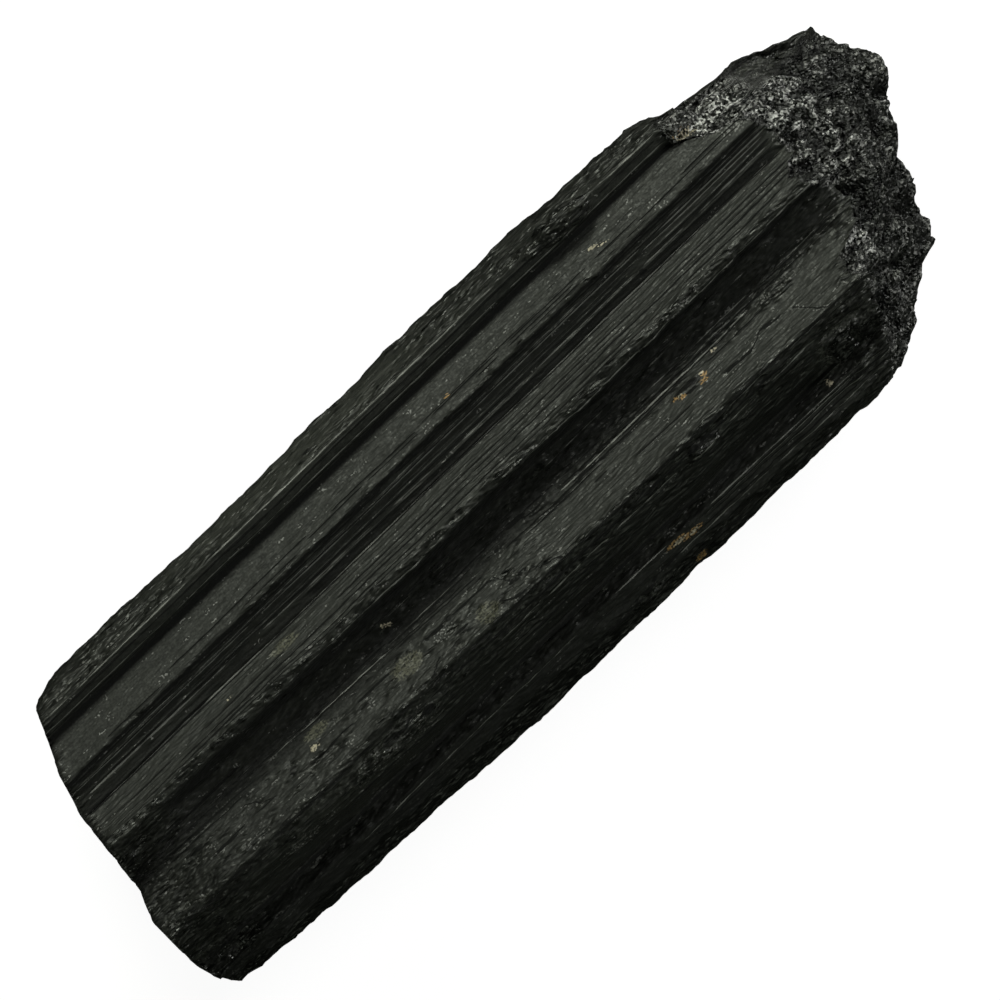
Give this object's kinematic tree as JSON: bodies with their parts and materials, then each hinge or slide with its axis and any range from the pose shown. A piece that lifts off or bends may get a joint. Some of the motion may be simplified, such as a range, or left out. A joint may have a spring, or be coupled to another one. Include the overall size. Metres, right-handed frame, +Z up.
{
  "type": "tourmaline crystal",
  "caption": "Rough black tourmaline rod with deep lengthwise ridges and grooves and a granular broken end, lying on a flat prism face.",
  "frame": {"origin": "on the surface that the rod lies on, under the middle of its bounding box", "axes": "+X along the rod towards its granular broken end, +Y across the rod, +Z up"},
  "size_m": [0.1204, 0.0406, 0.024],
  "materials": {
    "schorl": "black natural crystal faces with a dull vitreous lustre, finely striated lengthwise, granular and sparkling where broken"
  },
  "bodies": {
    "root": {"tourmaline_crystal": "schorl"}
  },
  "joints": []
}
